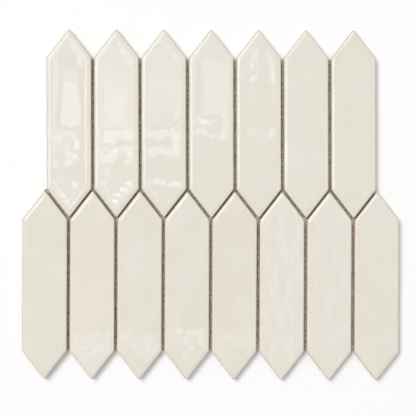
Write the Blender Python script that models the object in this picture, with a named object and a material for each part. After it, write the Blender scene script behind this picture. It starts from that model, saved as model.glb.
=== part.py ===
"""Picket tile mosaic sheet: two interlocking courses of glazed picket tiles on a backing mesh.

Metres, +Z up, glazed faces up. The courses run along X and the tiles' points along Y.
The origin is the centre of the underside. The pieces are fifteen tiles and one backing mesh.
"""

import math

import bmesh
import bpy

# Tile, as a long hexagon with a point at each end. Its length is over the rounded tips.
TILE_WIDTH = 0.0361
TILE_LENGTH = 0.1508
POINT_LENGTH = 0.0233
TILE_THICKNESS = 0.0080
TIP_RADIUS = 0.0012
SHOULDER_RADIUS = 0.0025
TIP_SEGMENTS = 3
SHOULDER_SEGMENTS = 2

# Upper edge: a rounded arris, then a soft slope up to the flat of the face
ARRIS_RADIUS = 0.0010
ARRIS_STEPS = 3
SLOPE_WIDTH = 0.0024
SLOPE_DROP = 0.0005
SLOPE_BREAK = 0.5
UPPER_SLOPE_SHARE = 0.3
BACK_CHAMFER = 0.0005

# Shallow keys pressed into the tile's back
KEY_COUNT = 4
KEY_WIDTH = 0.0036
KEY_SPACING = 0.0070
KEY_DEPTH = 0.0007
KEY_MARGIN = 0.0060

# Sheet
UPPER_TILES = 7
LOWER_TILES = 8
STRAIGHT_JOINT = 0.0020
SLANTED_JOINT = 0.00145

# Backing mesh: strands that cross the open joints, bedded in a film of adhesive behind each tile
FILM_THICKNESS = 0.0005
FILM_INSET = 0.0003
FILM_TIP_SEGMENTS = 2
STRANDS_PER_HALF_PITCH = 4
STRAND_WIDTH = 0.0007
WEFT_THICKNESS = 0.00032
WARP_THICKNESS = 0.00040
STRAND_BURIAL = 0.0020
SEAT_GAP = 0.0003

GLAZE_COLOUR = (0.83, 0.80, 0.73, 1.0)
MESH_COLOUR = (0.52, 0.46, 0.39, 1.0)

PITCH = TILE_WIDTH + STRAIGHT_JOINT
HALF_WIDTH = TILE_WIDTH / 2
EDGE_LENGTH = math.hypot(HALF_WIDTH, POINT_LENGTH)
TIP_HALF_ANGLE = math.atan2(HALF_WIDTH, POINT_LENGTH)
# Half the tile's length to where its slanted edges would meet, were its tips not rounded
SHARP_REACH = TILE_LENGTH / 2 + TIP_RADIUS * (EDGE_LENGTH / HALF_WIDTH - 1)
# The points interlock until the slanted joint is left, which sets how far apart the courses lie.
POINT_OVERLAP = (POINT_LENGTH * PITCH / 2 - SLANTED_JOINT * EDGE_LENGTH) / HALF_WIDTH
COURSE_PITCH = 2 * SHARP_REACH - POINT_OVERLAP
STRAND_PITCH = PITCH / 2 / STRANDS_PER_HALF_PITCH
TILE_BOTTOM = FILM_THICKNESS + SEAT_GAP


def clear_scene():
    for obj in list(bpy.data.objects):
        bpy.data.objects.remove(obj, do_unlink=True)


def new_collection(name, helpers=False):
    collection = bpy.data.collections.new(name)
    bpy.context.scene.collection.children.link(collection)
    collection.hide_render = helpers
    return collection


def principled(name, colour, roughness):
    material = bpy.data.materials.new(name)
    material.use_nodes = True
    shader = material.node_tree.nodes["Principled BSDF"]
    shader.inputs["Base Color"].default_value = colour
    shader.inputs["Roughness"].default_value = roughness
    shader.inputs["Metallic"].default_value = 0.0
    return material


def picket_corners(inset=0.0):
    """The six corners of a picket whose edges all lie inset from the tile's own."""
    half_width = HALF_WIDTH - inset
    tip = reach(0, inset)
    shoulder = reach(half_width, inset)
    return [
        (0, tip),
        (-half_width, shoulder),
        (-half_width, -shoulder),
        (0, -tip),
        (half_width, -shoulder),
        (half_width, shoulder),
    ]


def reach(offset, inset=0.0):
    """How far a picket runs from its middle at this distance from its centre line."""
    tip = SHARP_REACH - inset * EDGE_LENGTH / HALF_WIDTH
    return tip - abs(offset) * POINT_LENGTH / HALF_WIDTH


def half_width_at(distance, inset=0.0):
    """Half a picket's width at this distance from its middle along its length."""
    to_tip = reach(0, inset) - abs(distance)
    return min(HALF_WIDTH - inset, to_tip * HALF_WIDTH / POINT_LENGTH)


def plate(name, outline, thickness):
    """A flat outline extruded by thickness about z = 0, as a shape with undivided ends."""
    curve = bpy.data.curves.new(name, "CURVE")
    curve.dimensions = "2D"
    curve.fill_mode = "BOTH"
    curve.extrude = thickness / 2
    spline = curve.splines.new("POLY")
    spline.points.add(len(outline) - 1)
    spline.use_cyclic_u = True
    for point, (x, y) in zip(spline.points, outline):
        point.co = (x, y, 0, 1)
    drawn = bpy.data.objects.new(name, curve)
    bpy.context.scene.collection.objects.link(drawn)
    graph = bpy.context.evaluated_depsgraph_get()
    mesh = bpy.data.meshes.new_from_object(drawn.evaluated_get(graph))
    bpy.data.objects.remove(drawn, do_unlink=True)
    shape = bmesh.new()
    shape.from_mesh(mesh)
    bpy.data.meshes.remove(mesh)
    bmesh.ops.remove_doubles(shape, verts=shape.verts, dist=1e-6)
    bmesh.ops.dissolve_limit(
        shape, angle_limit=math.radians(1), verts=shape.verts, edges=shape.edges
    )
    bmesh.ops.recalc_face_normals(shape, faces=shape.faces)
    return shape


def finish_mesh(name, shape):
    """Turns the shape into a mesh with its faces pointing out."""
    bmesh.ops.recalc_face_normals(shape, faces=shape.faces)
    mesh = bpy.data.meshes.new(name)
    shape.to_mesh(mesh)
    shape.free()
    return mesh


def boxes(name, blocks):
    """One mesh of separate boxes, each given as its lowest and its highest corner."""
    shape = bmesh.new()
    for low, high in blocks:
        corners = bmesh.ops.create_cube(shape, size=1.0)["verts"]
        size = [top - bottom for bottom, top in zip(low, high)]
        middle = [(top + bottom) / 2 for bottom, top in zip(low, high)]
        bmesh.ops.scale(shape, verts=corners, vec=size)
        bmesh.ops.translate(shape, verts=corners, vec=middle)
    return finish_mesh(name, shape)


def place(name, mesh, collection, location=(0, 0, 0)):
    obj = bpy.data.objects.new(name, mesh)
    obj.location = location
    collection.objects.link(obj)
    return obj


def helper(name, mesh, collection):
    obj = place(name, mesh, collection)
    obj.hide_render = True
    obj.display_type = "WIRE"
    return obj


def face_at(shape, side):
    """The highest face of the shape for side 1, and the lowest for side -1."""
    return max(shape.faces, key=lambda face: side * face.calc_center_median().z)


def step_face(shape, side, inset, rise):
    """Draws the end face in by inset and moves it out by rise, leaving a sloped band around it."""
    shape.faces.ensure_lookup_table()
    bmesh.ops.inset_region(
        shape,
        faces=[face_at(shape, side)],
        thickness=inset,
        depth=rise,
        use_boundary=True,
        use_even_offset=True,
    )


def round_corners(shape, radius, half_angle, segments, at_tip):
    """Rounds the corner edges that run up through the tile, at its two tips or at its shoulders."""
    edges = [
        edge
        for edge in shape.edges
        if abs(edge.verts[0].co.z - edge.verts[1].co.z) > 1e-6
        and (max(abs(vert.co.x) for vert in edge.verts) < 1e-6) == at_tip
    ]
    # An arc of this radius meets the two walls this far from their corner.
    bmesh.ops.bevel(
        shape,
        geom=edges,
        offset=radius / math.tan(half_angle),
        offset_type="OFFSET",
        segments=segments,
        profile=0.5,
        affect="EDGES",
        clamp_overlap=True,
    )


def tile_body():
    """The pressed tile: straight walls, rounded arris and soft slope above, small chamfer below."""
    wall = TILE_THICKNESS - ARRIS_RADIUS - SLOPE_DROP - BACK_CHAMFER
    shape = plate("picket_tile", picket_corners(), wall)
    for step in range(ARRIS_STEPS):
        start = math.pi / 2 * step / ARRIS_STEPS
        end = math.pi / 2 * (step + 1) / ARRIS_STEPS
        inset = ARRIS_RADIUS * (math.cos(start) - math.cos(end))
        rise = ARRIS_RADIUS * (math.sin(end) - math.sin(start))
        step_face(shape, 1, inset, rise)
    step_face(shape, 1, SLOPE_WIDTH * SLOPE_BREAK, SLOPE_DROP * (1 - UPPER_SLOPE_SHARE))
    step_face(shape, 1, SLOPE_WIDTH * (1 - SLOPE_BREAK), SLOPE_DROP * UPPER_SLOPE_SHARE)
    step_face(shape, -1, BACK_CHAMFER, BACK_CHAMFER)
    shoulder_half_angle = (math.pi - TIP_HALF_ANGLE) / 2
    round_corners(shape, SHOULDER_RADIUS, shoulder_half_angle, SHOULDER_SEGMENTS, at_tip=False)
    round_corners(shape, TIP_RADIUS, TIP_HALF_ANGLE, TIP_SEGMENTS, at_tip=True)
    lowest = min(vert.co.z for vert in shape.verts)
    bmesh.ops.translate(shape, verts=shape.verts, vec=(0, 0, TILE_BOTTOM - lowest))
    return finish_mesh("picket_tile", shape)


def key_blocks():
    """The keys in the back: long pockets that stop short of the tile's points."""
    blocks = []
    for index in range(KEY_COUNT):
        x = (index - (KEY_COUNT - 1) / 2) * KEY_SPACING
        half_length = reach(abs(x) + KEY_WIDTH / 2) - KEY_MARGIN
        low = (x - KEY_WIDTH / 2, -half_length, TILE_BOTTOM - KEY_DEPTH)
        high = (x + KEY_WIDTH / 2, half_length, TILE_BOTTOM + KEY_DEPTH)
        blocks.append((low, high))
    return blocks


def make_tile_mesh(helpers):
    """One finished tile, cut once and shared by all fifteen."""
    blank = helper("tile_blank", tile_body(), helpers)
    keys = helper("back_keys", boxes("back_keys", key_blocks()), helpers)
    cut = blank.modifiers.new("keys", "BOOLEAN")
    cut.operation = "DIFFERENCE"
    cut.object = keys
    cut.solver = "EXACT"
    graph = bpy.context.evaluated_depsgraph_get()
    mesh = bpy.data.meshes.new_from_object(blank.evaluated_get(graph))
    mesh.name = "picket_tile_keyed"
    mesh.shade_smooth()
    mesh.set_sharp_from_angle(angle=math.radians(28))
    for spare in (blank, keys):
        bpy.data.objects.remove(spare, do_unlink=True)
    return mesh


def courses():
    """Name, tile count and middle height on the sheet of each course."""
    return [
        ("upper", UPPER_TILES, COURSE_PITCH / 2),
        ("lower", LOWER_TILES, -COURSE_PITCH / 2),
    ]


def tile_places():
    """Name and centre of every tile, left to right in each course."""
    places = []
    for course, count, y in courses():
        for index in range(count):
            x = (index - (count - 1) / 2) * PITCH
            places.append((f"picket_{course}_{index + 1}", x, y))
    return places


def half_span(y):
    """Half the sheet's width at this height, to the outer edge of the film."""
    spans = [0.0]
    for _, count, middle in courses():
        width = half_width_at(y - middle, FILM_INSET)
        if width > 0:
            spans.append((count - 1) / 2 * PITCH + width)
    return max(spans)


def weft_blocks():
    """The strands that run along the courses, from the lower shoulders to the upper ones."""
    blocks = []
    shoulder = COURSE_PITCH / 2 + reach(HALF_WIDTH)
    rows = int((shoulder - STRAND_WIDTH) / STRAND_PITCH - 0.5)
    middle = FILM_THICKNESS / 2
    for row in range(-rows - 1, rows + 1):
        y = (row + 0.5) * STRAND_PITCH
        half_length = half_span(y) - STRAND_BURIAL
        low = (-half_length, y - STRAND_WIDTH / 2, middle - WEFT_THICKNESS / 2)
        high = (half_length, y + STRAND_WIDTH / 2, middle + WEFT_THICKNESS / 2)
        blocks.append((low, high))
    return blocks


def warp_blocks():
    """The strands that run across the courses, which never lie lengthwise in a straight joint."""
    blocks = []
    columns = round((min(UPPER_TILES, LOWER_TILES) * PITCH / 2) / STRAND_PITCH)
    middle = FILM_THICKNESS / 2
    for column in range(-columns, columns):
        x = (column + 0.5) * STRAND_PITCH
        ends = []
        for _, count, y in courses():
            nearest = round(x / PITCH - (count - 1) / 2) + (count - 1) / 2
            side = math.copysign(1, y)
            ends.append(y + side * (reach(x - nearest * PITCH, FILM_INSET) - STRAND_BURIAL))
        low = (x - STRAND_WIDTH / 2, min(ends), middle - WARP_THICKNESS / 2)
        high = (x + STRAND_WIDTH / 2, max(ends), middle + WARP_THICKNESS / 2)
        blocks.append((low, high))
    return blocks


def make_backing_mesh(collection, helpers, material):
    """The backing as one piece: a film behind each tile, joined by the strands that bridge the joints."""
    shape = plate("film", picket_corners(FILM_INSET), FILM_THICKNESS)
    round_corners(shape, TIP_RADIUS, TIP_HALF_ANGLE, FILM_TIP_SEGMENTS, at_tip=True)
    first = list(shape.faces)
    for _, x, y in tile_places():
        copy = bmesh.ops.duplicate(shape, geom=first)["geom"]
        verts = [part for part in copy if isinstance(part, bmesh.types.BMVert)]
        bmesh.ops.translate(shape, verts=verts, vec=(x, y, FILM_THICKNESS / 2))
    bmesh.ops.delete(shape, geom=first, context="FACES")
    mesh = finish_mesh("backing_mesh", shape)
    mesh.materials.append(material)
    backing = place("backing_mesh", mesh, collection)
    for name, blocks in (("weft_strands", weft_blocks()), ("warp_strands", warp_blocks())):
        strands = helper(name, boxes(name, blocks), helpers)
        join = backing.modifiers.new(name, "BOOLEAN")
        join.operation = "UNION"
        join.object = strands
        join.solver = "EXACT"
    return backing


def make_tiles(collection, helpers, material):
    mesh = make_tile_mesh(helpers)
    mesh.materials.clear()
    mesh.materials.append(material)
    for name, x, y in tile_places():
        place(name, mesh, collection, (x, y, 0))


def main():
    clear_scene()
    sheet = new_collection("picket_tile_mosaic_sheet")
    helpers = new_collection("cutters", helpers=True)
    make_tiles(sheet, helpers, principled("ivory_glaze", GLAZE_COLOUR, 0.12))
    make_backing_mesh(sheet, helpers, principled("bedded_mesh", MESH_COLOUR, 0.8))


main()
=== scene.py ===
"""Looks for the picket tile mosaic sheet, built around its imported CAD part.

Metres, +Z up, glazed faces up. Fifteen glazed tiles, the woven mesh behind them and the
adhesive between the two stand for the CAD nodes.
"""

import math
import random

import bmesh
import bpy
import numpy as np
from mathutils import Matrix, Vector, geometry, noise


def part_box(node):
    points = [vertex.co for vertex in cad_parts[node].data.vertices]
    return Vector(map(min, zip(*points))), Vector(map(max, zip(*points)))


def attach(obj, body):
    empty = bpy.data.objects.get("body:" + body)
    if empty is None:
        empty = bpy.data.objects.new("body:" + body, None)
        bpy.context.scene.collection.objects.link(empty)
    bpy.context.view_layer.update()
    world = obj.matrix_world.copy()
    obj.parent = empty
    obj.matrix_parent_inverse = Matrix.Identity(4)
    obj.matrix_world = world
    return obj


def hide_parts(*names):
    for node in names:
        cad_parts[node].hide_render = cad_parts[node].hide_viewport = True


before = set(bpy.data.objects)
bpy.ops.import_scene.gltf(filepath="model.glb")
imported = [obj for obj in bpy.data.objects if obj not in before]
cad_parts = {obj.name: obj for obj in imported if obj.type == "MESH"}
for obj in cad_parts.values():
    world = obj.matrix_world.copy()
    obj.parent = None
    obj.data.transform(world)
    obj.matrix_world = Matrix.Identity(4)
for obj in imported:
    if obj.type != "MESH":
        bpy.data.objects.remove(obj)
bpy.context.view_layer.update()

COURSES = {"upper": 7, "lower": 8}
FIRST_TILE = "picket_upper_1"
BODY = "root"

# Tile outline. Width, length and thickness come from the CAD node's box. The two sides are only
# about as long as here, for their number of points.
POINT_LENGTH = 0.0233
TIP_RADIUS = 0.0012
SHOULDER_RADIUS = 0.0025
OUTLINE_STEP = 0.0012
SLANTED_SIDE = 0.026
STRAIGHT_SIDE = 0.104
TIP_STEPS = 6
SHOULDER_STEPS = 5
TOUCHING = 1e-8

# Tile profile, from the back up
BACK_CHAMFER = 0.0005
ARRIS_RADIUS = 0.0010
ARRIS_TURN = math.radians(66)
ARRIS_STEPS = 6
BEVEL_WIDTH = 0.0034
BEVEL_STEPS = 11
RIDGE_HEIGHT = 0.000012
RIDGE_WIDTH = 0.00040
FACE_STEP = 0.00095
FACE_MARGIN = 0.6
WALL_HEIGHTS = (0.0, 0.3, 0.65, 1.0)
KEY_COUNT = 4
KEY_CORNERS = 4
KEY_WIDTH = 0.0036
KEY_SPACING = 0.0070
KEY_DEPTH = 0.0007
KEY_MARGIN = 0.0060
KEY_DRAFT = 0.0003
# The back has no inset: a value outside the tile keeps the face's wear off it.
BACK_INSET = -0.001

# Handmade unevenness of the tiles. A wave is the length of its lumps along x and y, and a band is
# where a share rises from 0 to 1.
NOISE_GAIN = 1.6
SEED_STEP = 1.7
SEEDS = {"edge": 11, "bend": 23, "small_bend": 31, "ripple": 5, "fine_ripple": 7}
EDGE_WAVE = (0.019, 0.019)
EDGE_WANDER = 0.00014
EDGE_BAND = (0.0010, 0.0030)
BEND_WAVE = (0.016, 0.030)
SMALL_BEND_WAVE = (0.006, 0.009)
SMALL_BEND_SHARE = 0.2
BEVEL_WANDER = 0.00050
BEVEL_START = 0.0002
FACE_BAND = (0.0016, 0.0045)
DISH_WIDTH = 0.0015
CROWN = 0.00001
SLOW_WAVE = (0.021, 0.034)
SLOW_HEIGHT = 0.00003
RIPPLE_WAVE = {"upper": (0.0064, 0.0034), "lower": (0.0036, 0.0023)}
RIPPLE_HEIGHT = 0.000013
FINE_RIPPLE_SHARE = 0.22
FINE_RIPPLE_RATIO = 2.3
CALM_BAND = (-0.010, 0.012)
TIP_BAND = (-0.050, -0.042)
TIP_CALM = {"upper": 0.4, "lower": 1.0}
LAYING_TURN = {"upper": 0.0055, "lower": 0.0}

# Backing mesh
STRAND_PITCH = 0.0047625
STRAND_WIDTH = 0.0009
STRAND_THICKNESS = 0.00020
STRAND_SIDES = 6
STRAND_STEPS = 4
STRAND_MIDDLE = 0.00026
STRAND_SWING = 0.00012
STRAND_WANDER = 0.00018
STRAND_BURIAL = 0.0020
STRAND_COLUMNS = 28
STRAND_DRIFT_WAVE = 0.013
STRAND_WIDTH_WAVE = 0.004
STRAND_APART = 0.003
STRAND_SWELL = 0.3
STRAND_DRIFT_SEED = 7.0
STRAND_SWELL_SEED = 3.0

# Adhesive between the mesh and the tiles
ADHESIVE_INSET = 0.0002
ADHESIVE_WAVE = (0.0045, 0.0045)
ADHESIVE_WANDER = 0.0011
ADHESIVE_PULL = 0.35
ADHESIVE_SEED = 40.0
ADHESIVE_BOTTOM = 0.00024
WEB_HEIGHT = 0.00020
WEB_THICKNESS = 0.00004
WEB_WIDTH = 0.0050
WEB_COLUMNS = (-1, -0.33, 0.33, 1)
WEB_STEP = 0.0008
WEB_WAVE = 0.0034
WEB_SWELL = 0.00040
WEB_LOW = -0.2
WEB_SEED = 1.0
# Webs of different kinds meet, so each kind lies a little higher than the one before.
WEB_LIFT = {"straight": 0.0, "falling": 0.00001, "rising": 0.00002}
CRUMB_SIZES = (0.00030, 0.00070)
CRUMB_SHARE = 0.8
CRUMB_SPACING = 0.013
CRUMB_REACH = (0.05, 0.95)
CRUMB_STRAY = 0.0003
CRUMB_RISE = 0.75
CRUMB_SWELL = 0.35
CRUMB_FLATNESS = 0.6
CRUMB_WAVE = 1.3
CRUMB_SEED = 5
CRUMB_SEED_STEP = 3.1

# The angle in degrees from which an edge is shown sharp
SHARP_ANGLE = 40
STRAND_SHARP_ANGLE = 50
CRUMB_SHARP_ANGLE = 60

# Photograph's frame
VIEW_WIDTH = 0.3338
CAMERA_HEIGHT = 1.15
CAMERA_OFFSET = (-0.0024, -0.00275)
CAMERA_TURN = 0.0042

# Studio light: SUN_ANGLE and SUN_TILT are in degrees, SUN_TURN in radians.
DAYLIGHT = (0.86, 0.95, 1.0)
COOL_LIGHT = (0.76, 0.90, 1.0)
SUNLIGHT = (1.22, 1.01, 0.93)
SKYLIGHT = (0.985, 1.0, 1.02, 1)
FILL_LEVEL = 0.431
SUN_LEVEL = 0.25
SUN_ANGLE = 28
SUN_TILT = 26
SUN_TURN = 0.85
FLOOR_HALF = 6.0
FLOOR_HEIGHT = -0.00004
FLOOR_LIFT = 0.052

# Windows that the glaze mirrors. Each window of a tile hangs a little higher than the one before.
# RAGGED_LEAST is a share of a window's height, and the other RAGGED values are in millimetres.
WINDOW_RISE = 0.02
WINDOW_STAGGER = 10
WINDOW_GAIN = 1.2
MILLIMETRES = 1000
RAGGED_TALL = 9.0
RAGGED_COLUMN = 2.6
RAGGED_STRAY = 1.1
RAGGED_BOTTOM = -42.5
RAGGED_LEAST = 0.4
WINDOW_SEED = 14
WINDOW_SEED_STEP = 31
WINDOW_TILE_STEP = 7
WINDOW_CLIMB = {
    "picket_upper_1": -0.22,
    "picket_upper_2": 0.25,
    "picket_upper_3": 0.12,
    "picket_upper_4": -0.08,
}

# Lights over the sheet: two corners of the rectangle, height, level and colour
SOFTBOXES = {
    "low_softbox": (((-4.3, 0.0), (-1.8, 1.1)), 6 * CAMERA_HEIGHT, 4.8, COOL_LIGHT),
    "high_softbox": (((-4.6, 1.1), (-0.95, 4.4)), 6 * CAMERA_HEIGHT, 3.8, COOL_LIGHT),
    "middle_softbox": (((-3.8, 0.9), (-0.9, 1.9)), 6.2 * CAMERA_HEIGHT, 2.4, COOL_LIGHT),
    "right_panel": (((1.5, -1.5), (5.0, 2.0)), 6 * CAMERA_HEIGHT, 1.0, DAYLIGHT),
    "side_window": (((-0.42, 0.04), (-0.268, 0.30)), CAMERA_HEIGHT + WINDOW_RISE, 2.6, DAYLIGHT),
}

# Colours of the materials, linear
COLOURS = {
    "cool_ivory": (0.779, 0.747, 0.645, 1),
    "warm_ivory": (0.803, 0.748, 0.654, 1),
    "grain": (0.735, 0.700, 0.605, 1),
    "cloud": (0.725, 0.665, 0.540, 1),
    "streak": (0.818, 0.792, 0.705, 1),
    # Painted shade: the darker tan that the crease around each face is painted with.
    "crease_shade": (0.700, 0.620, 0.500, 1),
    "biscuit": (0.655, 0.600, 0.525, 1),
    "wall_glaze": (0.665, 0.580, 0.450, 1),
    "thin_glaze": (0.565, 0.470, 0.345, 1),
    "stained_yarn": (0.48, 0.43, 0.37, 1),
    "clean_yarn": (0.74, 0.71, 0.69, 1),
    "fibre": (0.80, 0.78, 0.76, 1),
    "floor": (0.935, 0.925, 0.910, 1),
    "floor_lift": (0.86, 1.03, 1.12, 1),
}

# The dark and the pale colour of each kind of adhesive, with painted shade and painted light in the
# webs of the slanting joints
ADHESIVES = {
    "bed": ((0.52, 0.44, 0.30, 1), (0.88, 0.82, 0.68, 1)),
    "web": ((0.52, 0.43, 0.27, 1), (0.99, 0.93, 0.77, 1)),
    # Painted shade: the webs of the falling joints, along which the slanting light runs, are darker.
    "painted_shade_web": ((0.27, 0.22, 0.13, 1), (0.56, 0.52, 0.41, 1)),
    # Painted light: the webs of the rising joints, which lie in the slanting light's shadow, are
    # paler.
    "painted_light_web": ((0.78, 0.66, 0.46, 1), (0.98, 0.93, 0.80, 1)),
    "crumb": ((0.78, 0.75, 0.69, 1), (0.95, 0.94, 0.91, 1)),
}

# Noise in the materials: scale, detail and roughness. The streaks get their scale from STREAK_SCALE.
NOISES = {
    "patches": (190.0, 3.0, 0.5),
    "grain": (620.0, 2.0, 0.6),
    "clouds": (42.0, 4.0, 0.5),
    "streaks": (1.0, 5.0, 0.62),
    "crease_shade": (140.0, 2.0, 0.5),
    "drip_line": (120.0, 2.0, 0.5),
    "break_rim": (420.0, 3.0, 0.5),
    "face_gloss": (60.0, 2.0, 0.5),
    "glaze_relief": (380.0, 1.0, 0.4),
    "stains": (300.0, 3.0, 0.5),
    "fibres": (4500.0, 3.0, 0.7),
    "adhesive_clouds": (430.0, 3.0, 0.6),
    "adhesive_gloss": (500.0, 2.0, 0.5),
    "adhesive_lumps": (700.0, 3.0, 0.5),
}
STREAK_SCALE = (150.0, 42.0, 1.0)

# What a noise, a height or a distance from the rim becomes: from low and high to two other values
RANGES = {
    "patches": (0.34, 0.66, -0.35, 0.35),
    "grain": (0.36, 0.66, 0.0, 0.16),
    "clouds": (0.36, 0.64, 0.0, 1.0),
    "streaks": (0.46, 0.58, 0.0, 1.0),
    "crease_shade": (0.00010, 0.00060, 1.0, 0.0),
    "drip_line": (0.0044, 0.0049, 0.0, 1.0),
    "break_height": (0.0068, 0.0074, 0.0, 1.0),
    "break_rim": (0.00045, 0.00090, 0.0, 1.0),
    "wall_gloss": (0.0044, 0.0049, 0.85, 0.32),
    "face_gloss": (0.3, 0.7, 0.0, 0.02),
    "stains": (0.35, 0.65, 0.0, 1.0),
    "fibres": (0.35, 0.65, 0.0, 0.35),
    "adhesive_clouds": (0.33, 0.58, 0.0, 1.0),
    "adhesive_gloss": (0.3, 0.7, 0.35, 0.6),
}

# How far a noise moves the lines where one look of the glaze gives way to the next
WANDERS = {"crease_shade": 0.0012, "drip_line": 0.0030, "break_rim": 0.00035}
CREASE_INSET = 0.0039

# Sizes and places from the frame
LOW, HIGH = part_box(FIRST_TILE)
HALF_WIDTH = (HIGH.x - LOW.x) / 2
TILE_BOTTOM = LOW.z
TILE_TOP = HIGH.z
EDGE_LENGTH = math.hypot(HALF_WIDTH, POINT_LENGTH)
SHARP_REACH = (HIGH.y - LOW.y) / 2 + TIP_RADIUS * (EDGE_LENGTH / HALF_WIDTH - 1)
SIDE_STEPS = [round(side / OUTLINE_STEP) for side in (SLANTED_SIDE, STRAIGHT_SIDE, SLANTED_SIDE) * 2]
CENTRES = {}
for course, count in COURSES.items():
    for index in range(count):
        node = f"picket_{course}_{index + 1}"
        low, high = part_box(node)
        CENTRES[node] = ((low.x + high.x) / 2, (low.y + high.y) / 2)
COURSE_Y = {course: CENTRES[f"picket_{course}_1"][1] for course in COURSES}
PITCH = CENTRES["picket_upper_2"][0] - CENTRES["picket_upper_1"][0]


def picket_corners(inset):
    """The sharp corners of a tile whose edges all lie inset from the tile's own."""
    half_width = HALF_WIDTH - inset
    tip = SHARP_REACH - inset * EDGE_LENGTH / HALF_WIDTH
    shoulder = tip - half_width * POINT_LENGTH / HALF_WIDTH
    return [
        Vector((0, tip)),
        Vector((-half_width, shoulder)),
        Vector((-half_width, -shoulder)),
        Vector((0, -tip)),
        Vector((half_width, -shoulder)),
        Vector((half_width, shoulder)),
    ]


def outline(inset):
    """The tile's outline drawn in by inset, with rounded corners and always the same point count."""
    corners = picket_corners(inset)
    count = len(corners)
    arcs = []
    for index, corner in enumerate(corners):
        before = (corners[index - 1] - corner).normalized()
        after = (corners[(index + 1) % count] - corner).normalized()
        at_tip = index % 3 == 0
        radius = TIP_RADIUS if at_tip else SHOULDER_RADIUS
        steps = TIP_STEPS if at_tip else SHOULDER_STEPS
        half_angle = before.angle(after) / 2
        middle = corner + (before + after).normalized() * radius / math.sin(half_angle)
        start = corner + before * radius / math.tan(half_angle) - middle
        sweep = math.pi - 2 * half_angle
        arc = []
        for step in range(steps + 1):
            turn = sweep * step / steps
            x = start.x * math.cos(turn) - start.y * math.sin(turn)
            y = start.x * math.sin(turn) + start.y * math.cos(turn)
            arc.append(middle + Vector((x, y)))
        arcs.append(arc)
    points = []
    for index, arc in enumerate(arcs):
        points.extend(arc)
        side_end = arcs[(index + 1) % count][0]
        side = side_end - arc[-1]
        for step in range(1, SIDE_STEPS[index]):
            points.append(arc[-1] + side * step / SIDE_STEPS[index])
    return np.array([tuple(point) for point in points])


def fill(loops, inner_points):
    """Triangles inside the first loop, whose corners include the other loops and the inner points."""
    points = [Vector(point) for loop in loops for point in loop]
    edges = []
    start = 0
    for loop in loops:
        for index in range(len(loop)):
            edges.append((start + index, start + (index + 1) % len(loop)))
        start += len(loop)
    points += [Vector(point) for point in inner_points]
    made = geometry.delaunay_2d_cdt(points, edges, [], 1, TOUCHING)
    return np.array([tuple(point) for point in made[0]]), [tuple(face) for face in made[2]]


def face_grid(ring):
    """Points of an even triangular grid, well inside the ring."""
    inset = (HALF_WIDTH - ring[:, 0].max()) + FACE_STEP * FACE_MARGIN
    half_width = HALF_WIDTH - inset
    tip = SHARP_REACH - inset * EDGE_LENGTH / HALF_WIDTH - TIP_RADIUS / 2
    rows = int(tip / FACE_STEP)
    points = []
    for row in range(-rows, rows + 1):
        y = row * FACE_STEP
        reach = min(half_width, (tip - abs(y)) * HALF_WIDTH / POINT_LENGTH)
        shift = FACE_STEP / 2 * (row % 2)
        columns = int(reach / FACE_STEP) + 1
        for column in range(-columns, columns + 1):
            x = column * FACE_STEP + shift
            if abs(x) < reach:
                points.append((x, y))
    return points


def key_loops():
    """For each key in the back, its mouth and its floor."""
    loops = []
    for index in range(KEY_COUNT):
        x = (index - (KEY_COUNT - 1) / 2) * KEY_SPACING
        reach = SHARP_REACH - (abs(x) + KEY_WIDTH / 2) * POINT_LENGTH / HALF_WIDTH
        for draft in (0, KEY_DRAFT):
            half_width = KEY_WIDTH / 2 - draft
            half_length = reach - KEY_MARGIN - draft
            loops.append(
                [
                    (x - half_width, -half_length),
                    (x + half_width, -half_length),
                    (x + half_width, half_length),
                    (x - half_width, half_length),
                ]
            )
    return loops


def profile():
    """Inset and height of each ring of a tile, from its back to the edge of its flat face."""
    arris_inset = ARRIS_RADIUS * (1 - math.cos(ARRIS_TURN))
    arris_rise = ARRIS_RADIUS * math.sin(ARRIS_TURN)
    bevel_run = BEVEL_WIDTH - arris_inset
    bevel_drop = bevel_run / math.tan(ARRIS_TURN) / 2
    wall_low = TILE_BOTTOM + BACK_CHAMFER
    wall_high = TILE_TOP - bevel_drop - arris_rise
    rings = [(BACK_CHAMFER, TILE_BOTTOM)]
    rings += [(0.0, wall_low + (wall_high - wall_low) * share) for share in WALL_HEIGHTS]
    for step in range(1, ARRIS_STEPS + 1):
        turn = ARRIS_TURN * step / ARRIS_STEPS
        rings.append((ARRIS_RADIUS * (1 - math.cos(turn)), wall_high + ARRIS_RADIUS * math.sin(turn)))
    for step in range(1, BEVEL_STEPS + 1):
        share = step / BEVEL_STEPS
        inset = arris_inset + bevel_run * share
        ridge = RIDGE_HEIGHT * math.exp(-(((BEVEL_WIDTH - inset) / RIDGE_WIDTH) ** 2))
        rings.append((inset, TILE_TOP - bevel_drop * (1 - share) ** 2 + ridge))
    return rings


def inward_normals(ring):
    """For each point of the outline, the direction in the tile's plane that leads inward."""
    along = np.roll(ring, -1, axis=0) - np.roll(ring, 1, axis=0)
    normals = np.column_stack((-along[:, 1], along[:, 0]))
    return normals / np.linalg.norm(normals, axis=1)[:, None]


def inset_of(points):
    """Distance of points on the face from the tile's nearest edge."""
    x = np.abs(points[:, 0])
    y = np.abs(points[:, 1])
    to_point = (SHARP_REACH - y - x * POINT_LENGTH / HALF_WIDTH) * HALF_WIDTH / EDGE_LENGTH
    return np.minimum(HALF_WIDTH - x, to_point)


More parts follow.
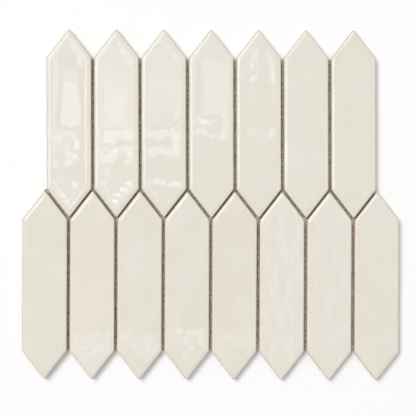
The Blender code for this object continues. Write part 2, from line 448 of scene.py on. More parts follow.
def tile_layout():
    """What all tiles share: x, y, z, inset and inward direction of each point, and the faces."""
    rings = profile()
    loops = [outline(inset) for inset, _ in rings]
    size = len(loops[0])
    normals = inward_normals(loops[1])
    points = []
    for loop, (inset, z) in zip(loops, rings):
        points.append(np.column_stack((loop, np.full(size, z), np.full(size, inset), normals)))
    faces = []
    for ring in range(len(rings) - 1):
        low = ring * size
        high = low + size
        for index in range(size):
            after = (index + 1) % size
            faces.append((low + index, low + after, high + after, high + index))
    top_points, top_faces = fill([loops[-1]], face_grid(loops[-1]))
    first_top = (len(rings) - 1) * size
    new_top = top_points[size:]
    still = np.zeros((len(new_top), 2))
    heights = np.full(len(new_top), TILE_TOP)
    points.append(np.column_stack((new_top, heights, inset_of(new_top), still)))
    after_top = len(rings) * size
    for face in top_faces:
        faces.append(tuple(first_top + i if i < size else after_top + i - size for i in face))
    back_points, back_faces = fill([loops[0]] + key_loops(), [])
    new_back = back_points[size:]
    floors = [index // KEY_CORNERS % 2 for index in range(len(new_back))]
    heights = [TILE_BOTTOM + KEY_DEPTH * at_floor for at_floor in floors]
    after_back = after_top + len(new_top)
    still = np.zeros((len(new_back), 2))
    points.append(np.column_stack((new_back, heights, np.full(len(new_back), BACK_INSET), still)))
    for face in back_faces:
        faces.append(tuple(i if i < size else after_back + i - size for i in reversed(face)))
    return np.vstack(points), faces


def smooth_share(value, low, high):
    """How far the value has come from low to high, eased at both ends."""
    share = np.clip((value - low) / (high - low), 0, 1)
    return share * share * (3 - 2 * share)


def wave(points, size, seed):
    """Smooth noise from about -1 to 1 over the points, with lumps of this size along x and y."""
    size_x, size_y = size
    found = [noise.noise(Vector((x / size_x, y / size_y, seed))) for x, y in points]
    return np.array(found) * NOISE_GAIN


def tile_points(layout, centre, course, seed, shape):
    """The layout's points for one tile: worn and rippled as its own, turned a little and placed."""
    points = layout[:, :3].copy()
    inset = layout[:, 3]
    inward = layout[:, 4:]
    flat = points[:, :2] + np.array(centre)
    near_edge = 1 - smooth_share(inset, *EDGE_BAND)
    # Edges wander inward only, so that the tile stays inside its CAD box.
    edge = (wave(flat, EDGE_WAVE, seed + SEEDS["edge"]) * 0.5 + 0.5).clip(0, 1)
    points[:, :2] += inward * (edge * EDGE_WANDER * near_edge)[:, None]
    middle = BEVEL_WIDTH / 2
    in_bevel = smooth_share(inset, BEVEL_START, middle)
    in_bevel *= 1 - smooth_share(inset, middle, BEVEL_WIDTH)
    bend = wave(flat, BEND_WAVE, seed + SEEDS["bend"]) * (1 - SMALL_BEND_SHARE)
    bend += wave(flat, SMALL_BEND_WAVE, seed + SEEDS["small_bend"]) * SMALL_BEND_SHARE
    points[:, :2] += inward * (bend * BEVEL_WANDER * in_bevel)[:, None]
    on_face = smooth_share(inset, *FACE_BAND)
    across = points[:, 0] / HALF_WIDTH
    along = points[:, 1] / SHARP_REACH
    relief = -CROWN * (across**2 + along**2)
    at_top, at_bottom, dish = shape
    relief -= dish * smooth_share(inset, BEVEL_WIDTH, BEVEL_WIDTH + DISH_WIDTH)
    relief += SLOW_HEIGHT * (wave(flat, SLOW_WAVE, seed) - 1) / 2
    ripple = at_bottom + (at_top - at_bottom) * smooth_share(points[:, 1], *CALM_BAND)
    calm = TIP_CALM[course]
    ripple *= RIPPLE_HEIGHT * (calm + (1 - calm) * smooth_share(-abs(points[:, 1]), *TIP_BAND))
    wide, high = RIPPLE_WAVE[course]
    fine = (wide / FINE_RIPPLE_RATIO, high / FINE_RIPPLE_RATIO)
    relief += ripple * (wave(flat, (wide, high), seed + SEEDS["ripple"]) - 1)
    relief += ripple * FINE_RIPPLE_SHARE * (wave(flat, fine, seed + SEEDS["fine_ripple"]) - 1)
    points[:, 2] += relief * on_face * (inset > 0)
    points[:, 2] = np.minimum(points[:, 2], TILE_TOP)
    turn = LAYING_TURN[course]
    x = points[:, 0] * math.cos(turn) - points[:, 1] * math.sin(turn)
    y = points[:, 0] * math.sin(turn) + points[:, 1] * math.cos(turn)
    return np.column_stack((x + centre[0], y + centre[1], points[:, 2]))


def mesh_object(name, points, faces, material, sharp_angle, **attributes):
    """A mesh piece of this material, with the given number at each point as a named attribute."""
    mesh = bpy.data.meshes.new(name)
    mesh.from_pydata([tuple(point) for point in points], [], faces)
    mesh.validate()
    mesh.shade_smooth()
    mesh.set_sharp_from_angle(angle=math.radians(sharp_angle))
    mesh.materials.append(material)
    for key, values in attributes.items():
        made = mesh.attributes.new(key, "FLOAT", "POINT")
        made.data.foreach_set("value", np.array(values, dtype=np.float32))
    obj = bpy.data.objects.new(name, mesh)
    bpy.context.scene.collection.objects.link(obj)
    return obj


def add(tree, kind, inputs=None, **settings):
    """A new node with its settings and plain input values, or links where an input is a socket."""
    made = tree.nodes.new(kind)
    for key, value in settings.items():
        setattr(made, key, value)
    for key, value in (inputs or {}).items():
        if isinstance(value, bpy.types.NodeSocket):
            tree.links.new(value, made.inputs[key])
        else:
            made.inputs[key].default_value = value
    return made


def noise_value(tree, coords, name):
    """The noise texture of this name."""
    scale, detail, roughness = NOISES[name]
    inputs = {"Vector": coords, "Scale": scale, "Detail": detail, "Roughness": roughness}
    return add(tree, "ShaderNodeTexNoise", inputs).outputs["Fac"]


def spread(tree, value, low, high, to_low, to_high):
    """The value between low and high, drawn out smoothly to run from to_low to to_high."""
    inputs = {"Value": value, "From Min": low, "From Max": high, "To Min": to_low, "To Max": to_high}
    made = add(tree, "ShaderNodeMapRange", inputs, interpolation_type="SMOOTHSTEP")
    return made.outputs["Result"]


def clouded(tree, coords, name):
    """The noise texture of this name, drawn out to its range."""
    return spread(tree, noise_value(tree, coords, name), *RANGES[name])


def blend(tree, factor, first, second):
    """A colour between two others. Sockets 6, 7 and 2 are the Mix node's colours."""
    made = add(tree, "ShaderNodeMix", data_type="RGBA")
    for index, value in ((0, factor), (6, first), (7, second)):
        if isinstance(value, bpy.types.NodeSocket):
            tree.links.new(value, made.inputs[index])
        else:
            made.inputs[index].default_value = value
    return made.outputs[2]


def math_node(tree, operation, first, second):
    return add(tree, "ShaderNodeMath", {0: first, 1: second}, operation=operation).outputs[0]


def wandering(tree, coords, value, name):
    """The value, moved a little by the noise of this name."""
    shift = math_node(tree, "MULTIPLY", noise_value(tree, coords, name), WANDERS[name])
    return math_node(tree, "ADD", value, shift)


def attribute(tree, name):
    return add(tree, "ShaderNodeAttribute", attribute_name=name).outputs["Fac"]


def stretched(tree, coords, scale):
    """The coordinates, scaled by axis, for noise that is drawn out along one of them."""
    return add(tree, "ShaderNodeMapping", {"Vector": coords, "Scale": scale}).outputs["Vector"]


def new_material(name):
    material = bpy.data.materials.new(name)
    material.use_nodes = True
    tree = material.node_tree
    shader = tree.nodes["Principled BSDF"]
    coords = add(tree, "ShaderNodeTexCoord").outputs["Object"]
    return material, tree, shader, coords


def add_bump(tree, shader, height, strength, distance):
    """Small relief on the surface, from the height."""
    bump = add(tree, "ShaderNodeBump", {"Height": height, "Strength": strength, "Distance": distance})
    tree.links.new(bump.outputs["Normal"], shader.inputs["Normal"])


def face_colour(tree, coords, rim):
    """Ivory glaze, warmer or cooler in patches, with its grain, clouds and streaks, and a painted
    shade line along the crease around the face.
    """
    warmth = math_node(tree, "ADD", attribute(tree, "warmth"), clouded(tree, coords, "patches"))
    face = blend(tree, warmth, COLOURS["cool_ivory"], COLOURS["warm_ivory"])
    face = blend(tree, clouded(tree, coords, "grain"), face, COLOURS["grain"])
    clouds = math_node(tree, "MULTIPLY", clouded(tree, coords, "clouds"), attribute(tree, "cloud"))
    face = blend(tree, clouds, face, COLOURS["cloud"])
    drawn = clouded(tree, stretched(tree, coords, STREAK_SCALE), "streaks")
    streaks = math_node(tree, "MULTIPLY", drawn, attribute(tree, "streak"))
    face = blend(tree, streaks, face, COLOURS["streak"])
    # The line where the bevel meets the face is painted darker tan: painted shade of the crease.
    crease_shade = math_node(tree, "SUBTRACT", wandering(tree, coords, rim, "crease_shade"), CREASE_INSET)
    crease_shade = spread(tree, math_node(tree, "ABSOLUTE", crease_shade, 0.0), *RANGES["crease_shade"])
    crease_shade = math_node(tree, "MULTIPLY", crease_shade, attribute(tree, "crease_shade"))
    return blend(tree, crease_shade, face, COLOURS["crease_shade"])


def glaze_material():
    """Glossy ivory glaze, thin and tan over the edges, over a pale biscuit body."""
    material, tree, shader, coords = new_material("ivory_glaze")
    height = add(tree, "ShaderNodeSeparateXYZ", {"Vector": coords}).outputs["Z"]
    rim = attribute(tree, "rim")
    drip = wandering(tree, coords, height, "drip_line")
    glazed = spread(tree, drip, *RANGES["drip_line"])
    wall = blend(tree, glazed, COLOURS["biscuit"], COLOURS["wall_glaze"])
    to_break = spread(tree, height, *RANGES["break_height"])
    edge = blend(tree, to_break, wall, COLOURS["thin_glaze"])
    to_face = spread(tree, wandering(tree, coords, rim, "break_rim"), *RANGES["break_rim"])
    colour = blend(tree, to_face, edge, face_colour(tree, coords, rim))
    tree.links.new(colour, shader.inputs["Base Color"])
    wall_gloss = spread(tree, drip, *RANGES["wall_gloss"])
    # Sockets 2 and 3 are the Mix node's plain numbers.
    inputs = {0: to_face, 2: wall_gloss, 3: clouded(tree, coords, "face_gloss")}
    gloss = add(tree, "ShaderNodeMix", inputs, data_type="FLOAT")
    tree.links.new(gloss.outputs[0], shader.inputs["Roughness"])
    shader.inputs["IOR"].default_value = 1.5
    add_bump(tree, shader, noise_value(tree, coords, "glaze_relief"), 1.0, 0.0000016)
    return material


def yarn_material():
    """Pale glass-fibre yarn, with fine fibres and stains of adhesive."""
    material, tree, shader, coords = new_material("mesh_yarn")
    stains = clouded(tree, coords, "stains")
    base = blend(tree, stains, COLOURS["stained_yarn"], COLOURS["clean_yarn"])
    fibres = noise_value(tree, coords, "fibres")
    colour = blend(tree, spread(tree, fibres, *RANGES["fibres"]), base, COLOURS["fibre"])
    tree.links.new(colour, shader.inputs["Base Color"])
    shader.inputs["Roughness"].default_value = 0.75
    add_bump(tree, shader, fibres, 0.5, 0.0001)
    return material


def adhesive_material(kind):
    """Adhesive with a soft shine, clouded between the two colours of its kind; the slanting joints'
    kinds carry painted shade and painted light.
    """
    material, tree, shader, coords = new_material(kind + "_adhesive")
    colour = blend(tree, clouded(tree, coords, "adhesive_clouds"), *ADHESIVES[kind])
    tree.links.new(colour, shader.inputs["Base Color"])
    tree.links.new(clouded(tree, coords, "adhesive_gloss"), shader.inputs["Roughness"])
    add_bump(tree, shader, noise_value(tree, coords, "adhesive_lumps"), 0.4, 0.0003)
    return material


def half_width_at(distance, inset):
    """Half a tile's width at this distance from its middle along its length."""
    to_tip = SHARP_REACH - inset * EDGE_LENGTH / HALF_WIDTH - abs(distance)
    return min(HALF_WIDTH - inset, to_tip * HALF_WIDTH / POINT_LENGTH)


def half_span(y):
    """Half the sheet's width at this height, to the outer tiles' edges."""
    spans = [0.0]
    for course, count in COURSES.items():
        width = half_width_at(y - COURSE_Y[course], 0.0)
        if width > 0:
            spans.append((count - 1) / 2 * PITCH + width)
    return max(spans)


def weft_runs():
    """Number, sideways place and ends of each strand that runs along the courses."""
    shoulder = COURSE_Y["upper"] + SHARP_REACH - POINT_LENGTH
    rows = int((shoulder - STRAND_WIDTH) / STRAND_PITCH - 0.5)
    runs = []
    for row in range(-rows - 1, rows + 1):
        y = (row + 0.5) * STRAND_PITCH
        reach = half_span(y) - STRAND_BURIAL
        runs.append((row, y, -reach, reach))
    return runs


def warp_runs():
    """Number, sideways place and ends of each strand that runs across the courses."""
    runs = []
    for column in range(-STRAND_COLUMNS, STRAND_COLUMNS):
        x = (column + 0.5) * STRAND_PITCH
        ends = []
        for course, count in COURSES.items():
            y = COURSE_Y[course]
            nearest = round(x / PITCH - (count - 1) / 2) + (count - 1) / 2
            reach = SHARP_REACH - abs(x - nearest * PITCH) * POINT_LENGTH / HALF_WIDTH
            ends.append(y + math.copysign(1, y) * (reach - STRAND_BURIAL))
        runs.append((column, x, min(ends), max(ends)))
    return runs


def strands(name, runs, axis, material):
    """All strands of one direction as flattened tubes that pass over and under the other ones."""
    points = []
    faces = []
    side = 1 - axis
    for number, place, start, end in runs:
        count = max(2, round((end - start) / STRAND_PITCH * STRAND_STEPS))
        first = len(points)
        for step in range(count + 1):
            run = start + (end - start) * step / count
            swing = math.sin(math.pi * (run / STRAND_PITCH + number + axis))
            apart = place / STRAND_APART
            drift = noise.noise(Vector((run / STRAND_DRIFT_WAVE, apart, axis * STRAND_DRIFT_SEED)))
            swell = noise.noise(Vector((run / STRAND_WIDTH_WAVE, apart, STRAND_SWELL_SEED)))
            width = STRAND_WIDTH / 2 * (1 + STRAND_SWELL * swell)
            for corner in range(STRAND_SIDES):
                turn = 2 * math.pi * corner / STRAND_SIDES
                point = [0.0, 0.0, 0.0]
                point[axis] = run
                point[side] = place + drift * STRAND_WANDER * 2 + width * math.cos(turn)
                rise = STRAND_THICKNESS / 2 * math.sin(turn)
                point[2] = STRAND_MIDDLE + swing * STRAND_SWING + rise
                points.append(point)
        for step in range(count):
            low = first + step * STRAND_SIDES
            high = low + STRAND_SIDES
            for corner in range(STRAND_SIDES):
                after = (corner + 1) % STRAND_SIDES
                face = (low + corner, low + after, high + after, high + corner)
                faces.append(face if axis == 0 else face[::-1])
        last = first + count * STRAND_SIDES
        near = tuple(first + corner for corner in range(STRAND_SIDES))
        far = tuple(last + corner for corner in range(STRAND_SIDES))
        faces.append(near[::-1] if axis == 0 else near)
        faces.append(far if axis == 0 else far[::-1])
    return mesh_object(name, points, faces, material, STRAND_SHARP_ANGLE)


def adhesive_beds(material):
    """A thin uneven bed of adhesive behind each tile, that reaches a little into the joints."""
    ring = outline(ADHESIVE_INSET)[::2]
    size = len(ring)
    _, flat_faces = fill([ring], [])
    points = []
    faces = []
    normals = inward_normals(ring)
    for (x, y), seed in zip(CENTRES.values(), range(len(CENTRES))):
        first = len(points)
        placed = ring + np.array((x, y))
        pull = (wave(placed, ADHESIVE_WAVE, ADHESIVE_SEED + seed) * 0.5 + ADHESIVE_PULL).clip(0, 1)
        edge = placed + normals * (pull * ADHESIVE_WANDER)[:, None]
        for height in (ADHESIVE_BOTTOM, TILE_BOTTOM):
            points.extend((px, py, height) for px, py in edge)
        for index in range(size):
            after = (index + 1) % size
            faces.append((first + index, first + after, first + size + after, first + size + index))
        for face in flat_faces:
            faces.append(tuple(first + i for i in reversed(face)))
            faces.append(tuple(first + size + i for i in face))
    return mesh_object("adhesive_beds", points, faces, material, SHARP_ANGLE)


def joint_lines():
    """By the way it runs, the ends of each joint's middle line, a little longer than the joint."""
    lines = {kind: [] for kind in WEB_LIFT}
    straight = 2 * (SHARP_REACH - POINT_LENGTH)
    for course, count in COURSES.items():
        y = COURSE_Y[course]
        for index in range(1, count):
            x = (index - count / 2) * PITCH
            lines["straight"].append(((x, y - straight / 2), (x, y + straight / 2)))
    for index in range(2 * COURSES["upper"]):
        x = (index - COURSES["upper"]) * PITCH / 2
        rise = POINT_LENGTH * PITCH / 2 / HALF_WIDTH / 2
        if index % 2:
            lines["rising"].append(((x, -rise), (x + PITCH / 2, rise)))
        else:
            lines["falling"].append(((x, rise), (x + PITCH / 2, -rise)))
    return lines


def adhesive_webs(kind, material):
    """Thin skins of adhesive that close the mesh at the bottom of the joints of one kind; the
    slanting joints' skins carry painted shade and painted light.
    """
    points = []
    faces = []
    for start, end in joint_lines()[kind]:
        start = np.array(start)
        along = np.array(end) - start
        length = np.linalg.norm(along)
        along = along / length
        across = np.array((along[1], -along[0]))
        rows = round(length / WEB_STEP)
        first = len(points)
        for side in (0, 1):
            for row in range(rows + 1):
                for column in WEB_COLUMNS:
                    place = start + along * length * row / rows + across * column * WEB_WIDTH / 2
                    x, y = place
                    swell = noise.noise(Vector((x / WEB_WAVE, y / WEB_WAVE, WEB_SEED)))
                    sag = WEB_SWELL * max(swell, WEB_LOW)
                    points.append((x, y, WEB_HEIGHT + WEB_LIFT[kind] + sag + side * WEB_THICKNESS))
        width = len(WEB_COLUMNS)
        layer = width * (rows + 1)
        for row in range(rows):
            for column in range(width - 1):
                low = first + width * row + column
                high = low + width
                faces.append((low, high, high + 1, low + 1))
                faces.append((low + layer, low + layer + 1, high + layer + 1, high + layer))
        rim = [first + width * row for row in range(rows + 1)]
        rim += [first + width * rows + column for column in range(1, width - 1)]
        rim += [first + width * row + width - 1 for row in range(rows, -1, -1)]
        rim += [first + column for column in range(width - 2, 0, -1)]
        for index, low in enumerate(rim):
            after = rim[(index + 1) % len(rim)]
            faces.append((after, low, low + layer, after + layer))
    return mesh_object("adhesive_webs_" + kind, points, faces, material, SHARP_ANGLE)


def lump(centre, size, seed):
    """Points and faces of one small uneven lump."""
    shape = bmesh.new()
    bmesh.ops.create_icosphere(shape, subdivisions=2, radius=1.0)
    points = []
    for vert in shape.verts:
        swell = 1 + CRUMB_SWELL * noise.noise(vert.co * CRUMB_WAVE + Vector((seed, 0.0, 0.0)))
        flat = Vector((vert.co.x, vert.co.y, vert.co.z * CRUMB_FLATNESS)) * size * swell
        points.append(tuple(Vector(centre) + flat))
    faces = [tuple(vert.index for vert in face.verts) for face in shape.faces]
    shape.free()
    return points, faces


def adhesive_crumbs(material):
    """Pale crumbs of adhesive squeezed up where joints meet, and a few along the joints."""
    draw = random.Random(CRUMB_SEED)
    places = []
    for start, end in sum(joint_lines().values(), []):
        if draw.random() < CRUMB_SHARE:
            places.append(start)
        length = math.dist(start, end)
        for _ in range(round(length / CRUMB_SPACING)):
            share = draw.uniform(*CRUMB_REACH)
            places.append([a + (b - a) * share for a, b in zip(start, end)])
    points = []
    faces = []
    for number, (x, y) in enumerate(places):
        size = draw.uniform(*CRUMB_SIZES)
        shift = [draw.uniform(-CRUMB_STRAY, CRUMB_STRAY) for _ in range(2)]
        centre = (x + shift[0], y + shift[1], WEB_HEIGHT + size * CRUMB_RISE)
        new_points, new_faces = lump(centre, size, number * CRUMB_SEED_STEP)
        first = len(points)
        points += new_points
        faces += [tuple(first + i for i in face) for face in new_faces]
    return mesh_object("adhesive_crumbs", points, faces, material, CRUMB_SHARP_ANGLE)


def area_light(name, corners, height, radiance, colour):
    """A flat light facing down over the rectangle between two corners, of even brightness."""
    (x0, y0), (x1, y1) = corners
    lamp = bpy.data.lights.new(name, "AREA")
    lamp.shape = "RECTANGLE"
    lamp.size = x1 - x0
    lamp.size_y = y1 - y0
    lamp.energy = radiance * math.pi * lamp.size * lamp.size_y
    lamp.color = colour
    obj = bpy.data.objects.new(name, lamp)
    obj.location = ((x0 + x1) / 2, (y0 + y1) / 2, height)
    bpy.context.scene.collection.objects.link(obj)
    return obj


def mirrored_window(node, number, low, high, level):
    """A window that a tile's flat glaze mirrors between two corners, measured from its middle."""
    height = CAMERA_HEIGHT + WINDOW_RISE * (1 + number / WINDOW_STAGGER)
    for part, part_corners in enumerate(ragged_parts(node, number, low, high)):
        corners = []
        for corner in part_corners:
            image = [middle + place / MILLIMETRES for middle, place in zip(CENTRES[node], corner)]
            away = [(p - eye) * height / CAMERA_HEIGHT for p, eye in zip(image, CAMERA_OFFSET)]
            corners.append([p + shift for p, shift in zip(image, away)])
        name = f"window_{node}_{number}_{part}"
        area_light(name, corners, height, level * WINDOW_GAIN, DAYLIGHT)


def ragged_parts(node, number, low, high):
    """A flat window's columns, which climb and stray. A tall one, or one at the tip, stays whole."""
    width = high[0] - low[0]
    tall = high[1] - low[1]
    if tall > min(RAGGED_TALL, width) or low[1] < RAGGED_BOTTOM:
        return [(low, high)]
    seed = WINDOW_SEED + number * WINDOW_SEED_STEP + int(node[-1]) * WINDOW_TILE_STEP
    draw = random.Random(seed)
    count = max(round(width / RAGGED_COLUMN), 1)
    parts = []
    for column in range(count):
        left = low[0] + width * column / count
        right = low[0] + width * (column + 1) / count
        climb = WINDOW_CLIMB.get(node, 0.0) * ((left + right) / 2 - (low[0] + high[0]) / 2)
        bottom = low[1] + climb + draw.uniform(-RAGGED_STRAY, RAGGED_STRAY)
        top = high[1] + climb + draw.uniform(-RAGGED_STRAY, RAGGED_STRAY)
        parts.append(((left, bottom), (right, max(top, bottom + tall * RAGGED_LEAST))))
    return parts


def slanting_light(level):
    """Soft light from the upper left, with no mirror image in the glaze."""
    lamp = bpy.data.lights.new("slanting_light", "SUN")
    lamp.angle = math.radians(SUN_ANGLE)
    lamp.energy = level * math.pi / math.cos(math.radians(SUN_TILT))
    lamp.color = SUNLIGHT
    obj = bpy.data.objects.new("slanting_light", lamp)
    lean = math.tan(math.radians(SUN_TILT))
    way = Vector((lean * math.cos(SUN_TURN), -lean * math.sin(SUN_TURN), -1.0))
    obj.rotation_euler = way.to_track_quat("-Z", "Y").to_euler()
    obj.visible_glossy = False
    bpy.context.scene.collection.objects.link(obj)


def seen_directly(tree):
    """1 where the camera sees this surface, also in a mirror or through glass, and else 0."""
    path = add(tree, "ShaderNodeLightPath").outputs
    either = math_node(tree, "MAXIMUM", path["Is Camera Ray"], path["Is Glossy Ray"])
    return math_node(tree, "MAXIMUM", either, path["Is Transmission Ray"])


def make_world(fill_level):
    world = bpy.data.worlds.new("studio")
    world.use_nodes = True
    tree = world.node_tree
    background = tree.nodes["Background"]
    background.inputs["Color"].default_value = SKYLIGHT
    level = spread(tree, seen_directly(tree), 0.0, 1.0, fill_level, 1.0)
    tree.links.new(level, background.inputs["Strength"])
    bpy.context.scene.world = world


def make_floor(lift):
    """A large white floor. The camera sees it a little brighter than it is lit, to read as white."""
    sides = ((-1, -1), (1, -1), (1, 1), (-1, 1))
    corners = [(x * FLOOR_HALF, y * FLOOR_HALF, FLOOR_HEIGHT) for x, y in sides]
    material, tree, shader, _ = new_material("studio_floor")
    shader.inputs["Base Color"].default_value = COLOURS["floor"]
    shader.inputs["Roughness"].default_value = 0.9
    shader.inputs["Specular IOR Level"].default_value = 0.0
    shader.inputs["Emission Color"].default_value = COLOURS["floor_lift"]
    path = add(tree, "ShaderNodeLightPath").outputs
    level = math_node(tree, "MULTIPLY", path["Is Camera Ray"], lift)
    tree.links.new(level, shader.inputs["Emission Strength"])
    floor = mesh_object("studio_floor", corners, [(0, 1, 2, 3)], material, SHARP_ANGLE)


def make_camera():
    lens = bpy.data.cameras.new("photo_camera")
    lens.sensor_fit = "HORIZONTAL"
    lens.angle = 2 * math.atan(VIEW_WIDTH / 2 / CAMERA_HEIGHT)
    camera = bpy.data.objects.new("photo_camera", lens)
    camera.location = (CAMERA_OFFSET[0], CAMERA_OFFSET[1], TILE_TOP + CAMERA_HEIGHT)
    camera.rotation_euler = (0, 0, CAMERA_TURN)
    bpy.context.scene.collection.objects.link(camera)
    bpy.context.scene.camera = camera


# How strongly the glaze ripples at the upper and the lower end of each tile, and how deep its face
# is dished
SHAPES = {
    "picket_upper_1": (0.15, 0.22, 0.00013),
    "picket_upper_2": (0.20, 0.22, 0.00004),
    "picket_upper_3": (0.20, 0.28, 0.00004),
    "picket_upper_4": (0.15, 0.24, 0.00003),
    "picket_upper_5": (0.25, 0.24, 0.00005),
    "picket_upper_6": (0.15, 0.15, 0.00003),
    "picket_lower_2": (0.12, 0.30, 0.00003),
    "picket_lower_3": (0.12, 0.30, 0.00003),
    "picket_lower_4": (0.12, 0.30, 0.00003),
    "picket_lower_5": (0.12, 0.30, 0.00003),
}
PLAIN_SHAPE = (0.15, 0.15, 0.00003)

# How warm, streaked and clouded with tan each tile's glaze is, and how dark the painted shade is
# along the crease around its face
LOOKS = {
    "picket_upper_1": (0.40, 0.10, 0.15, 0.45),
    "picket_upper_2": (0.20, 0.10, 0.12, 0.15),
    "picket_upper_3": (0.20, 0.10, 0.12, 0.20),
    "picket_upper_5": (0.30, 0.15, 0.15, 0.25),
    "picket_upper_6": (0.15, 0.30, 0.15, 0.08),
    "picket_upper_7": (0.05, 0.12, 0.35, 0.08),
    "picket_lower_1": (0.80, 0.10, 0.25, 0.08),
    "picket_lower_2": (1.15, 0.12, 0.12, 0.08),
    "picket_lower_3": (0.60, 0.15, 0.30, 0.15),
    "picket_lower_4": (0.60, 0.10, 0.38, 0.10),
    "picket_lower_5": (0.90, 0.15, 0.34, 0.15),
    "picket_lower_6": (0.60, 0.78, 0.08, 0.08),
    "picket_lower_7": (0.45, 0.45, 0.15, 0.08),
    "picket_lower_8": (0.20, 0.15, 0.15, 0.15),
}
PLAIN_LOOK = (0.20, 0.10, 0.12, 0.10)

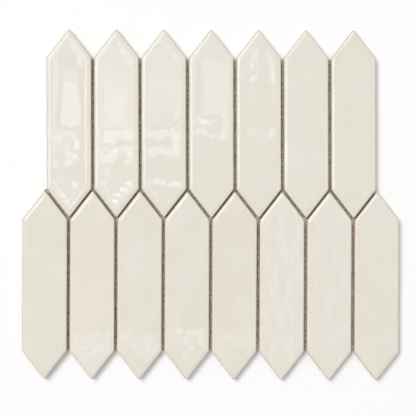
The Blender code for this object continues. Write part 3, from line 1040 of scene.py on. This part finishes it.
# The windows mirrored in the glaze: left, low, right and high end in millimetres from a tile's
# middle, and level
WINDOWS = {
    "picket_upper_1": [
        (-16.7, -4.3, -9.5, 51.2, 1.4),
        (-5.1, -2.7, 9.0, 31.9, 2.2),
        (-5.1, 31.9, 9.0, 41.6, 1.0),
        (-16.3, -35.6, 9.4, -4.3, 0.4),
        (-16.3, -14.7, -6.7, -9.1, 1.5),
        (-16.3, -23.6, -10.7, -17.9, 1.6),
        (-16.3, -34.0, -7.5, -29.2, 1.6),
        (-4.3, -12.3, 5.4, -5.9, 1.2),
        (3.0, -22.8, 9.4, -12.3, 2.6),
        (-6.7, -21.2, -0.2, -17.9, 0.8),
        (-3.5, -27.6, 3.8, -23.6, 1.8),
        (3.0, -30.8, 9.4, -26.8, 2.4),
        (-3.5, -34.0, 3.8, -30.0, 2.2),
        (-9.1, -47.7, 6.2, -42.9, 0.6),
        (-13.9, -51.7, -9.9, -46.1, 2.2),
        (3.8, -51.7, 9.4, -46.1, 2.6),
        (-9.9, -58.9, -6.7, -54.1, 3.4),
        (-7.1, -60.6, -2.7, -57.3, 3.4),
        (-4.3, -65.8, 1.0, -62.2, 3.8),
        (3.0, -58.9, 7.8, -54.9, 1.6),
        (1.0, 62.5, 4.5, 66.0, 2.2),
        (4.2, 57.5, 8.2, 62.6, 2.4),
        (8.0, 51.5, 11.4, 57.6, 2.2),
        (9.2, 46.0, 12.0, 52.0, 2.2),
        (-8.5, 56.5, -4.8, 60.5, 1.6),
        (-5.0, 60.5, -1.4, 64.8, 1.6),
    ],
    "picket_upper_2": [
        (-14.5, -3.5, 13.7, 62.5, 0.9),
        (-9.7, -2.7, 8.8, 25.5, 1.0),
        (-14.5, -34.0, 13.7, -4.3, 0.4),
        (-14.5, -65.4, 13.7, -34.0, 0.3),
        (-10.5, -17.1, 1.6, -6.7, 2.2),
        (0.8, -11.5, 8.8, -5.9, 2.0),
        (8.4, -15.5, 13.7, -4.3, 2.4),
        (8.4, -26.8, 13.7, -17.9, 2.6),
        (8.0, -33.2, 13.7, -28.0, 2.2),
        (-11.3, -22.8, -4.8, -19.5, 1.2),
        (-3.2, -24.0, 8.0, -20.3, 1.8),
        (-10.5, -31.6, 2.4, -24.4, 2.0),
        (-8.8, -42.1, -2.4, -34.8, 1.0),
        (-11.3, -50.9, -7.2, -46.9, 2.0),
        (8.0, -50.5, 13.7, -46.1, 3.2),
        (-8.0, -57.3, -4.8, -52.5, 2.4),
        (4.8, -56.1, 9.7, -52.1, 3.4),
        (0.0, -60.2, 5.6, -56.5, 3.4),
        (-3.2, -65.8, 2.4, -61.8, 3.8),
        (-9.7, 25.5, 8.8, 36.8, 0.5),
        (0.2, 61.8, 3.0, 66.0, 3.6),
        (4.0, 55.9, 7.0, 59.6, 2.6),
        (6.8, 52.4, 9.4, 56.0, 1.8),
        (10.0, 46.0, 12.8, 50.6, 1.8),
    ],
    "picket_upper_3": [
        (-14.3, 11.8, 13.0, 62.5, 0.6),
        (-14.3, 11.8, 13.0, 39.2, 0.4),
        (-14.3, -1.8, 8.6, 11.8, 0.6),
        (9.0, 1.4, 13.0, 10.2, 2.2),
        (9.0, -30.0, 13.0, -2.7, 2.8),
        (-14.3, -13.1, 8.6, -6.7, 1.9),
        (-14.3, -26.8, 8.6, -21.2, 2.1),
        (-13.5, -50.9, -9.5, -45.3, 1.8),
        (-7.9, -48.9, 1.0, -45.3, 2.2),
        (3.4, -51.3, 13.0, -47.7, 3.0),
        (-7.9, -56.9, -5.1, -54.1, 2.4),
        (-0.5, 64.0, 2.2, 68.0, 6.0),
        (2.6, 59.8, 5.6, 63.4, 10.0),
        (5.4, 56.8, 8.2, 60.0, 10.0),
        (8.0, 53.6, 10.8, 57.0, 8.0),
    ],
    "picket_upper_4": [
        (-13.1, 49.6, 13.4, 62.5, 0.35),
        (-7.5, 6.2, 13.4, 49.6, 1.1),
        (-12.3, 0.6, -6.7, 4.6, 1.8),
        (-8.3, -1.8, -0.2, 3.0, 2.2),
        (1.4, 1.4, 4.6, 3.8, 1.2),
        (7.8, 3.8, 13.4, 8.6, 2.2),
        (9.4, -2.7, 13.4, 2.2, 2.0),
        (-14.7, -7.5, -4.3, -4.3, 2.0),
        (-9.1, -10.7, 6.2, -7.9, 2.0),
        (7.8, -11.5, 13.4, -4.3, 2.2),
    ],
    "picket_upper_5": [
        (-7.7, 50.4, -0.5, 58.5, 1.4),
        (-8.5, 42.0, -4.5, 49.2, 2.0),
        (-2.9, 43.2, -0.5, 48.8, 1.8),
        (-7.7, 33.5, -0.5, 40.4, 2.1),
        (-7.7, 22.3, -0.5, 29.5, 0.9),
        (10.0, 13.4, 13.6, 58.5, 1.2),
        (10.0, 32.7, 13.6, 40.0, 1.6),
        (-10.9, -10.7, -5.3, -4.3, 1.3),
        (-2.9, -9.9, 5.1, -5.9, 1.1),
        (8.4, -11.5, 12.4, -4.3, 2.2),
        (7.6, 31.9, 12.4, 57.7, 0.9),
        (-6.9, 15.8, -0.5, 20.7, 0.8),
    ],
    "picket_lower_2": [
        (-12.6, -39.8, -3.0, -36.6, 1.6),
        (1.0, -41.4, 13.1, -38.2, 1.6),
        (-13.4, -46.2, -6.2, -43.0, 1.8),
        (-3.8, -47.0, 6.7, -43.8, 1.6),
        (9.1, -47.8, 13.9, -43.0, 1.6),
        (-9.4, -51.9, 0.2, -49.5, 1.6),
        (2.7, -52.7, 9.9, -49.5, 1.6),
        (-4.6, -57.5, 4.3, -54.3, 1.4),
    ],
    "picket_lower_3": [
        (-9.2, -26.1, 0.5, 24.5, 0.4),
        (-13.2, -43.0, -4.3, -39.0, 1.2),
        (-0.3, -43.8, 13.3, -39.8, 1.2),
        (-10.0, -49.5, 0.5, -46.2, 1.2),
        (3.7, -50.3, 10.9, -46.2, 1.2),
        (-5.1, -55.9, 5.3, -52.7, 1.0),
    ],
    "picket_lower_4": [
        (-12.7, -39.0, -3.1, -34.2, 1.6),
        (0.1, -39.8, 13.0, -35.0, 1.6),
        (-12.7, -46.2, -6.3, -42.2, 1.6),
        (-3.1, -45.4, 7.4, -42.2, 1.6),
        (9.8, -47.0, 13.8, -42.2, 1.6),
        (-8.7, -51.9, 0.1, -48.7, 1.4),
        (2.5, -51.9, 9.8, -47.8, 1.4),
        (-3.9, -57.5, 4.2, -54.3, 1.2),
    ],
    "picket_lower_5": [
        (-12.4, -42.2, -2.8, -39.0, 1.3),
        (1.2, -43.8, 12.5, -40.6, 1.1),
        (-8.4, -48.7, 1.2, -45.4, 1.1),
        (3.6, -49.5, 10.1, -46.2, 1.1),
    ],
}



def glazed_tiles():
    """A finer tile in the place of each tile of the CAD part."""
    glaze = glaze_material()
    layout, faces = tile_layout()
    for number, (node, centre) in enumerate(CENTRES.items()):
        course = node.split("_")[1]
        shape = SHAPES.get(node, PLAIN_SHAPE)
        points = tile_points(layout, centre, course, SEED_STEP * number, shape)
        looks = {"rim": layout[:, 3]}
        for name, amount in zip(("warmth", "streak", "cloud", "crease_shade"), LOOKS.get(node, PLAIN_LOOK)):
            looks[name] = np.full(len(points), amount)
        tile = mesh_object("glazed_" + node, points, faces, glaze, SHARP_ANGLE, **looks)
        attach(tile, BODY)
        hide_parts(node)


def mesh_and_adhesive():
    """The woven mesh and its adhesive, in the place of the CAD part's backing mesh."""
    yarn = yarn_material()
    pieces = [
        strands("mesh_weft", weft_runs(), 0, yarn),
        strands("mesh_warp", warp_runs(), 1, yarn),
        adhesive_beds(adhesive_material("bed")),
        adhesive_webs("straight", adhesive_material("web")),
        # Painted shade: the falling joints' webs are darker.
        adhesive_webs("falling", adhesive_material("painted_shade_web")),
        # Painted light: the rising joints' webs are paler.
        adhesive_webs("rising", adhesive_material("painted_light_web")),
        adhesive_crumbs(adhesive_material("crumb")),
    ]
    for piece in pieces:
        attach(piece, BODY)
        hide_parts("backing_mesh")


def studio():
    """Camera, world, floor and lights."""
    make_camera()
    make_world(FILL_LEVEL)
    make_floor(FLOOR_LIFT)
    slanting_light(SUN_LEVEL)
    for name, (corners, height, level, colour) in SOFTBOXES.items():
        area_light(name, corners, height, level, colour)
    for node, windows in WINDOWS.items():
        for number, (left, low, right, high, level) in enumerate(windows):
            mirrored_window(node, number, (left, low), (right, high), level)
    bpy.context.scene.view_settings.view_transform = "Standard"


glazed_tiles()
mesh_and_adhesive()
studio()
